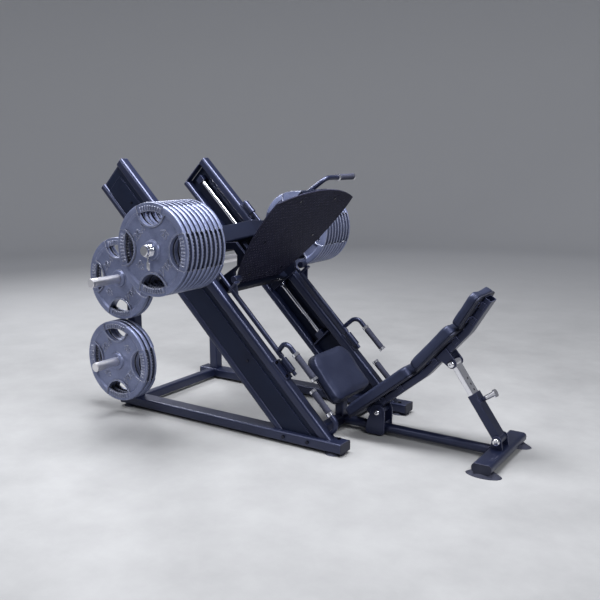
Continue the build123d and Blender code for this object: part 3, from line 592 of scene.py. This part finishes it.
def weight_plates():
    """Detailed plates in place of the CAD stacks on the sled's sleeves and the storage pegs."""
    low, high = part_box("loaded_plates_near")
    radius, thick = (high.x - low.x) / 2, (high.y - low.y) / LOADED_COUNT
    plate = plate_mesh(thick, radius)
    for side in ("near", "far"):
        low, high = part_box("loaded_plates_" + side)
        middle = (low + high) / 2
        inner = high.y if side == "near" else low.y
        stack = stack_of("grip_plates_" + side, plate, middle.x, middle.z, inner, thick,
                         LOADED_COUNT, "sled")
        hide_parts("loaded_plates_" + side)

    low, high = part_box("stored_plates_near")
    peg_x = (low.x + high.x) / 2
    lower_y = low.y + LOWER_COUNT * thick
    upper = stack_of("stored_plates_upper", plate, peg_x, high.z - radius, high.y, thick,
                     UPPER_COUNT, "frame")
    lower = stack_of("stored_plates_lower", plate, peg_x, low.z + radius, lower_y, thick,
                     LOWER_COUNT, "frame")
    for stack in (upper, lower):
        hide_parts("stored_plates_near")


# ---------------------------------------------------------------- foam grips, collars
def grip_sleeve(name, low, high, along_y, body, node):
    """A foam grip with rounded, slightly waisted ends over the CAD grip's box."""
    middle = (low + high) / 2
    if along_y:
        radius, length, direction = (high.x - low.x) / 2, high.y - low.y, (0, 1, 0)
    else:
        radius = (high.y - low.y) / 2
        length = (high.x - low.x) / cos(pi / 4) - 2 * radius
        direction = (-1, 0, 1)
    half, bore = length / 2 - 0.0006, radius * 0.76
    profile = [(bore, -half), (radius - 0.0035, -half), (radius - 0.0012, -half + 0.0012),
               (radius, -half + 0.005)]
    waist_steps, waist_depth = 10, 0.0007
    for step in range(1, waist_steps):
        share = step / waist_steps
        profile.append((radius - waist_depth * sin(pi * share) ** 2, (2 * share - 1) * (half - 0.005)))
    profile += [(radius, half - 0.005), (radius - 0.0012, half - 0.0012), (radius - 0.0035, half),
                (bore, half)]
    shape = bmesh.new()
    add_lathe(shape, profile, 40, axis_place(middle, direction))
    mesh = mesh_of(name, shape)
    mesh.materials.append(FOAM)
    smooth(mesh, 50.0)
    piece = link(name, mesh)
    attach(piece, body)
    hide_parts(node)


def foam_grips():
    """Foam sleeves of the fixed grips, the safety handles and the upper grip."""
    for low, high in solids_of("hand_grip_foam"):
        side = "near" if low.y < 0 else "far"
        grip_sleeve("seat_grip_foam_" + side, low, high, False, "frame", "hand_grip_foam")
    for side in ("near", "far"):
        node, body = "safety_grip_" + side, "safety_catch_" + side
        low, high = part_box(node)
        grip_sleeve("safety_foam_" + side, low, high, False, body, node)
    low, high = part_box("top_handle_grip")
    grip_sleeve("top_grip_foam", low, high, True, "sled", "top_handle_grip")


def tube_along(shape, points, radius, segments=12):
    """A round tube through the points, with capped ends."""
    rings = []
    up = Vector((0.31, 0.17, 0.94)).normalized()
    for i, point in enumerate(points):
        ahead = points[min(i + 1, len(points) - 1)] - points[max(i - 1, 0)]
        across = ahead.cross(up).normalized()
        other = across.cross(ahead).normalized()
        ring = []
        for k in range(segments):
            a = 2 * pi * k / segments
            ring.append(shape.verts.new(point + radius * (cos(a) * across + sin(a) * other)))
        rings.append(ring)
    for here, there in zip(rings, rings[1:]):
        for k in range(segments):
            j = (k + 1) % segments
            shape.faces.new((here[k], here[j], there[j], there[k]))
    shape.faces.new(list(reversed(rings[0])))
    shape.faces.new(rings[-1])


def spring_collars():
    """Coiled spring collars with two squeeze arms, in place of the CAD bands."""
    sleeve = solids_of("weight_sleeves")[0]
    sleeve_radius = (sleeve[1].x - sleeve[0].x) / 2
    wire, count = COLLAR_WIRE, int(COLLAR_TURNS * COLLAR_STEPS)
    first, extra = radians(-108), radians(36)
    tip_profile = [(0.0001, -0.004), (0.0045, -0.003), (0.0056, 0.0), (0.0054, 0.030), (0.0045, 0.033),
                   (0.0001, 0.0335)]
    for low, high in solids_of("spring_collars"):
        side = "near" if low.y < 0 else "far"
        sign = -1 if low.y < 0 else 1
        inner = min(abs(low.y), abs(high.y))
        centre = Vector(((low.x + high.x) / 2, 0, high.z - sleeve_radius - 0.0045))
        reach = sleeve_radius + wire
        points = []
        for k in range(count + 1):
            a = first + 2 * pi * k / COLLAR_STEPS + extra * k / count
            y = inner + wire + 0.0001 + (2 * wire + 0.0003) * k / COLLAR_STEPS
            points.append(centre + Vector((reach * cos(a), sign * y, reach * sin(a))))
        arm = centre.z - low.z - 0.004
        start, end = points[0], points[-1]
        lead = [Vector((start.x - 0.008, start.y, centre.z - arm)),
                Vector((start.x - 0.003, start.y, start.z - 0.012))]
        tail = [Vector((end.x + 0.003, end.y, end.z - 0.012)),
                Vector((end.x + 0.008, end.y, centre.z - arm))]
        shape = bmesh.new()
        tube_along(shape, lead + points + tail, wire)
        mesh = mesh_of("collar_" + side, shape)
        mesh.materials.append(CHROME)
        smooth(mesh, 60.0)
        piece = link("collar_" + side, mesh)
        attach(piece, "sled")
        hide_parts("spring_collars")
        for k, tip in enumerate((lead[0], tail[-1])):
            shape = bmesh.new()
            add_lathe(shape, tip_profile, 20, axis_place(tip, (0, 0, 1)), closed=False)
            mesh = mesh_of("collar_tip", shape)
            mesh.materials.append(ZINC)
            smooth(mesh, 45.0)
            cover = link(f"collar_tip_{side}_{k + 1}", mesh)
            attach(cover, "sled")


def pop_pin_coil():
    """The pop pin's spring, coiled along the pin's pull axis and riding on the pop pin."""
    joints = frame["record"]["behaviour"]["joints"]
    joint = next(item for item in joints if item["name"] == "pop_pin_pull")
    axis, travel = Vector(joint["axis"]).normalized(), max(joint["range_m"])
    level = Vector((0, 1, 0))
    middles, spans = [], []
    for direction in (axis, level, axis.cross(level)):
        reach = [vert.co.dot(direction) for vert in NODES["pop_pin_spring"].data.vertices]
        middles.append(direction * (min(reach) + max(reach)) / 2)
        spans.append(max(reach) - min(reach))
    length, radius = spans[0] - 2 * COIL_WIRE, spans[1] / 2 - COIL_WIRE
    foot = sum(middles, Vector()) - axis * length / 2
    across = axis.cross(level)
    count = int(COIL_TURNS * COIL_STEPS)
    points = []
    for k in range(count + 1):
        a = 2 * pi * k / COIL_STEPS
        share = min(max((k / count - 0.1) / 0.8, 0.0), 1.0)      # the end turns lie flat
        rise = axis * length * (share + 0.08 * (k / count - share))
        points.append(foot + rise + radius * (cos(a) * level + sin(a) * across))
    shape = bmesh.new()
    tube_along(shape, points, COIL_WIRE, 10)
    mesh = mesh_of("pop_pin_coil", shape)
    mesh.materials.append(ZINC)
    smooth(mesh, 60.0)
    piece = link("pop_pin_coil", mesh)
    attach(piece, "pop_pin")
    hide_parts("pop_pin_spring")
    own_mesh(piece)


def dome(name, centre, outward, radius, body):
    """A domed bolt head with a six-sided socket, its flat back at centre."""
    rise, skirt, flat = radius * DOME_RISE, 0.0016, 0.42
    profile = [(radius, 0.0), (radius, skirt)]
    for step in range(1, 7):
        turn = step / 6 * pi / 2
        width = radius * (flat + (1 - flat) * cos(turn))
        profile.append((width, skirt + (rise - skirt) * sin(turn)))
    profile += [(0.0001, rise), (0.0001, 0.0)]
    shape = bmesh.new()
    add_lathe(shape, profile, 36)
    piece = link(name, mesh_of(name, shape))
    shape = bmesh.new()
    socket = arc(0, 0, DOME_SOCKET * radius, 0, 2 * pi, 6)[:-1]
    add_prism(shape, socket, rise * 0.35, rise * 2)
    boolean(piece, link("socket", mesh_of("socket", shape)), "DIFFERENCE")
    piece.data.transform(axis_place(centre, outward))
    piece.data.materials.append(CHROME)
    smooth(piece.data, 30.0)
    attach(piece, body)


def pivot_domes():
    """Domed heads over both ends of the hinge bolt and the strut bolts."""
    bolts = [("frame", box) for box in solids_of("frame_bolts")]
    bolts += [("backrest", box) for box in solids_of("backrest_bolts")]
    pivots = [(body, low, high) for body, (low, high) in bolts if low.y < -0.03 and high.y > 0.03]
    for index, (body, low, high) in enumerate(pivots):
        middle = (low + high) / 2
        radius = (high.x - low.x) / 2
        for side, sign, y in (("near", -1, low.y), ("far", 1, high.y)):
            place = Vector((middle.x, y, middle.z))
            dome(f"bolt_dome_{index + 1}_{side}", place, (0, sign, 0), radius, body)


# ---------------------------------------------------------------- footplate tread
def footplate_tread():
    """Raised bars in a lattice over the footplate's front face."""
    plate = NODES["footplate"].data
    face = max(plate.polygons, key=lambda p: p.area)
    normal = face.normal.copy()
    if normal.x < 0:
        normal = -normal
    front = max(v.co.dot(normal) for v in plate.vertices)
    across = Vector((0, 1, 0))
    up = normal.cross(across)
    if up.z < 0:
        up = -up
    edge = {}
    for vert in plate.vertices:
        if abs(vert.co.dot(normal) - front) < 1e-4:
            edge[(round(vert.co.dot(across), 5), round(vert.co.dot(up), 5))] = vert.co
    outline = sorted(edge, key=lambda q: q[1])
    lowest, highest = outline[0][1], outline[-1][1]

    def half_width(height):
        """Half of the plate's width at a height up the plate, from its outline."""
        right = sorted((h, abs(w)) for w, h in outline)
        below = [q for q in right if q[0] <= height]
        above = [q for q in right if q[0] >= height]
        if not below or not above:
            return 0.0
        (h0, w0), (h1, w1) = below[-1], above[0]
        return w0 if h1 - h0 < 1e-6 else w0 + (w1 - w0) * (height - h0) / (h1 - h0)

    foot_shape = ((1, 0), (0.55, 0.85), (-0.55, 0.85), (-1, 0), (-0.55, -0.85), (0.55, -0.85))
    shape = bmesh.new()
    for row in range(int((highest - lowest) / BAR_PITCH)):
        height = lowest + TREAD_MARGIN + row * BAR_PITCH
        edges = half_width(height - TREAD_MARGIN), half_width(height + TREAD_MARGIN)
        columns = int((min(edges) - TREAD_MARGIN) / BAR_PITCH)
        for column in range(-columns, columns + 1):
            middle = normal * front + across * (column * BAR_PITCH) + up * height
            tilt = radians(45 if (row + column) % 2 else -45)
            lean = cos(tilt) * across + sin(tilt) * up
            along, beside = lean * BAR_LENGTH, normal.cross(lean) * BAR_WIDTH
            sunk = middle - 0.0005 * normal
            ring = [sunk + along * a + beside * b for a, b in foot_shape]
            top = [middle + BAR_HEIGHT * normal + along * a * 0.55 for a in (1, -1)]
            foot = [shape.verts.new(p) for p in ring]
            ridge = [shape.verts.new(p) for p in top]
            shape.faces.new(list(reversed(foot)))
            for a, b, c in ((0, 1, 0), (3, 4, 1), (2, 3, 1), (5, 0, 0)):
                shape.faces.new((foot[a], foot[b], ridge[c]))
            shape.faces.new((foot[1], foot[2], ridge[1], ridge[0]))
            shape.faces.new((foot[4], foot[5], ridge[0], ridge[1]))
    mesh = mesh_of("footplate_tread", shape)
    mesh.materials.append(TREAD)
    piece = link("footplate_tread", mesh)
    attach(piece, "sled")


# ---------------------------------------------------------------- pads
def pad_axes(node):
    """(centre, outward normal, half thickness) of a CAD pad."""
    mesh = NODES[node].data
    weights = {}
    for face in mesh.polygons:
        key = tuple(round(c, 2) for c in face.normal)
        weights[key] = weights.get(key, 0.0) + face.area
    flat = [Vector(key).normalized() for key in sorted(weights, key=weights.get)[-2:]]
    normal = max(flat, key=lambda n: n.z)
    across = Vector((0, 1, 0))
    along = across.cross(normal)
    ranges = []
    for axis in (across, along, normal):
        values = [v.co.dot(axis) for v in mesh.vertices]
        ranges.append((min(values), max(values)))
    centre = Vector()
    for axis, (low, high) in zip((across, along, normal), ranges):
        centre += axis * (low + high) / 2
    return centre, normal, (ranges[2][1] - ranges[2][0]) / 2


def sliced(node, name, point, normal):
    """The CAD solid's part on the normal's side of a plane, closed."""
    shape = bmesh.new()
    shape.from_mesh(NODES[node].data)
    bmesh.ops.remove_doubles(shape, verts=shape.verts, dist=1e-5)
    bmesh.ops.bisect_plane(shape, geom=shape.verts[:] + shape.edges[:] + shape.faces[:], plane_co=point,
                           plane_no=normal, clear_inner=True)
    rim = [edge for edge in shape.edges if edge.is_boundary]
    bmesh.ops.contextual_create(shape, geom=rim)
    bmesh.ops.triangulate(shape, faces=shape.faces)
    return link(name, mesh_of(name, shape))


def shrink_about(mesh, centre, share):
    """Scales the mesh towards a point."""
    for vert in mesh.vertices:
        vert.co = centre + (vert.co - centre) * share


def cushion(node, name, body):
    """A vinyl cushion blown up by cloth simulation from the CAD pad, and the board under it."""
    centre, normal, thick = pad_axes(node)
    base = centre - normal * thick
    piece = sliced(node, name, base + normal * PAD_BOARD, normal)
    shrink_about(piece.data, centre, PAD_START)
    remesh = piece.modifiers.new("remesh", "REMESH")
    remesh.mode, remesh.voxel_size = "VOXEL", VOXEL
    relax = piece.modifiers.new("relax", "SMOOTH")
    relax.factor, relax.iterations = 0.5, RELAX_PASSES
    apply_modifiers(piece)
    inflate(piece, base + normal * PAD_BOARD, normal)
    subdivide = piece.modifiers.new("subdivide", "SUBSURF")
    subdivide.levels = subdivide.render_levels = 1
    apply_modifiers(piece)
    for face in piece.data.polygons:
        face.use_smooth = True
    piece.data.materials.clear()
    piece.data.materials.append(VINYL)
    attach(piece, body)
    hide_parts(node)

    board = sliced(node, name + "_board", base + normal * PAD_BOARD, -normal)
    shrink_about(board.data, centre - normal * (thick - PAD_BOARD / 2), BOARD_SHARE)
    bevel = board.modifiers.new("bevel", "BEVEL")
    bevel.width, bevel.segments = BOARD_ROUND, 3
    bevel.limit_method, bevel.angle_limit = "ANGLE", radians(50)
    apply_modifiers(board)
    board.data.materials.clear()
    board.data.materials.append(PLASTIC)
    smooth(board.data, 40.0)
    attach(board, body)


def evened(mesh, moves):
    """The moves averaged with their neighbours, which irons small creases out of the cloth."""
    beside = [[] for _ in moves]
    for edge in mesh.edges:
        a, b = edge.vertices
        beside[a].append(b)
        beside[b].append(a)
    for _ in range(EVEN_PASSES):
        moves = [(move + sum((moves[k] for k in beside[i]), Vector())) / (1 + len(beside[i]))
                 for i, move in enumerate(moves)]
    return moves


def inflate(piece, base, normal):
    """Blows the cushion up under cloth pressure; its underside stays on the board."""
    mesh = piece.data
    start = [vert.co.copy() for vert in mesh.vertices]
    held = piece.vertex_groups.new(name="held")
    held.add([i for i, co in enumerate(start) if (co - base).dot(normal) < 0.5 * VOXEL], 1.0, "REPLACE")
    cloth = piece.modifiers.new("cloth", "CLOTH")
    settings = cloth.settings
    settings.use_pressure, settings.uniform_pressure_force = True, PRESSURE
    settings.vertex_group_mass = "held"
    settings.quality = QUALITY
    settings.effector_weights.gravity = 0.0
    settings.tension_stiffness = settings.compression_stiffness = STIFFNESS
    settings.bending_stiffness = BENDING
    cloth.point_cache.frame_start, cloth.point_cache.frame_end = 1, SIM_FRAMES
    scene = bpy.context.scene
    for step in range(1, SIM_FRAMES + 1):
        scene.frame_set(step)
    graph = bpy.context.evaluated_depsgraph_get()
    swollen = bpy.data.meshes.new_from_object(piece.evaluated_get(graph))
    moves = []
    for i, co in enumerate(start):
        move = swollen.vertices[i].co - co
        if move.length > PAD_CAP:
            move *= PAD_CAP / move.length
        moves.append(move)
    for vert, co, move in zip(mesh.vertices, start, evened(mesh, moves)):
        vert.co = co + move
    piece.modifiers.remove(cloth)
    scene.frame_set(1)
    bpy.data.meshes.remove(swollen)


def pads():
    """The seat's cushion and the three back cushions."""
    cushion("seat_pad", "seat_cushion", "frame")
    for part in ("lower", "middle", "head"):
        cushion("back_pad_" + part, "back_cushion_" + part, "backrest")


# ---------------------------------------------------------------- studio
def studio():
    """Pale floor that curves up into a wall all round, painted darker near the machine and paler far out
    as painted light, and soft light.
    """
    floor_mat = Paint("studio_floor")
    drift = floor_mat.span(floor_mat.noise(2.4, 8.0, 0.65), 0.3, 0.7)
    floor = floor_mat.mix(drift, (0.255, 0.256, 0.258), (0.32, 0.321, 0.323))
    split = floor_mat.node("ShaderNodeSeparateXYZ")
    floor_mat.join(floor_mat.point, split.inputs[0])
    squares = [floor_mat.math("MULTIPLY", split.outputs[axis], split.outputs[axis]) for axis in "XY"]
    # Painted light: the floor is painted darker within 2 m of the centre and paler from 7 m out, to even
    # out the lamps' fall-off.
    far = floor_mat.span(floor_mat.math("POWER", floor_mat.math("ADD", *squares), 0.5), 2.0, 7.0)
    color = floor_mat.mix(far, floor, (0.62, 0.625, 0.63))
    floor_mat.finish(color, 0.62)
    profile = [(0.001, 0.0), (FLOOR_RADIUS, 0.0)]
    for step in range(1, 13):
        turn = step / 12 * pi / 2
        profile.append((FLOOR_RADIUS + (WALL_RADIUS - FLOOR_RADIUS) * sin(turn),
                        (WALL_RADIUS - FLOOR_RADIUS) * (1 - cos(turn))))
    profile.append((WALL_RADIUS, WALL_HEIGHT))
    shape = bmesh.new()
    add_lathe(shape, profile, 96, closed=False, capped=False)
    mesh = bpy.data.meshes.new("studio_floor")
    shape.to_mesh(mesh)
    shape.free()
    mesh.materials.append(floor_mat.material)
    for face in mesh.polygons:
        face.use_smooth = True
    link("studio_floor", mesh)

    world = bpy.data.worlds.new("studio")
    world.use_nodes = True
    backdrop = world.node_tree.nodes["Background"]
    backdrop.inputs["Color"].default_value = (0.80, 0.83, 0.95, 1.0)
    backdrop.inputs["Strength"].default_value = 0.24
    bpy.context.scene.world = world

    view = bpy.context.scene.view_settings
    view.view_transform, view.look = "Standard", "None"
    soft_box("overhead", (0.1, -0.3, 3.6), (0.0, 0.0, 0.6), 2.6, 1.0, 260.0)
    soft_box("front", (-3.0, -3.6, 3.2), (-0.3, 0.0, 0.7), 1.8, 0.9, 75.0)
    soft_box("head_end", (3.6, -1.8, 3.3), (0.0, 0.0, 0.7), 1.4, 0.7, 110.0)
    soft_box("weight_end", (-3.9, 1.6, 3.4), (-0.4, 0.0, 0.8), 1.8, 1.0, 120.0)


def soft_box(name, place, target, width, height, power):
    """A rectangular light at place that faces the target."""
    light = bpy.data.lights.new(name, "AREA")
    light.shape, light.size, light.size_y, light.energy = "RECTANGLE", width, height, power
    light.color = (0.96, 0.97, 1.0)
    holder = bpy.data.objects.new(name, light)
    bpy.context.scene.collection.objects.link(holder)
    holder.location = place
    holder.rotation_euler = (Vector(target) - Vector(place)).to_track_quat("-Z", "Y").to_euler()


def camera():
    """The camera at the machine's head end, on the near side."""
    yaw, pitch, roll = radians(CAMERA_YAW), radians(CAMERA_PITCH), radians(-CAMERA_ROLL)
    ahead = Vector((-sin(yaw) * cos(pitch), cos(yaw) * cos(pitch), -sin(pitch)))
    level = Vector((cos(yaw), sin(yaw), 0))
    upright = level.cross(ahead)
    right = level * cos(roll) + upright * sin(roll)
    up = upright * cos(roll) - level * sin(roll)
    data = bpy.data.cameras.new("camera")
    data.lens, data.sensor_width = CAMERA_LENS, CAMERA_SENSOR
    holder = bpy.data.objects.new("camera", data)
    bpy.context.scene.collection.objects.link(holder)
    turn = Matrix((right, up, -ahead)).transposed()
    holder.matrix_world = Matrix.Translation(CAMERA_PLACE) @ turn.to_4x4()
    bpy.context.scene.camera = holder


finish_cad_nodes()
weight_plates()
foam_grips()
spring_collars()
pop_pin_coil()
pivot_domes()
footplate_tread()
pads()
studio()
camera()
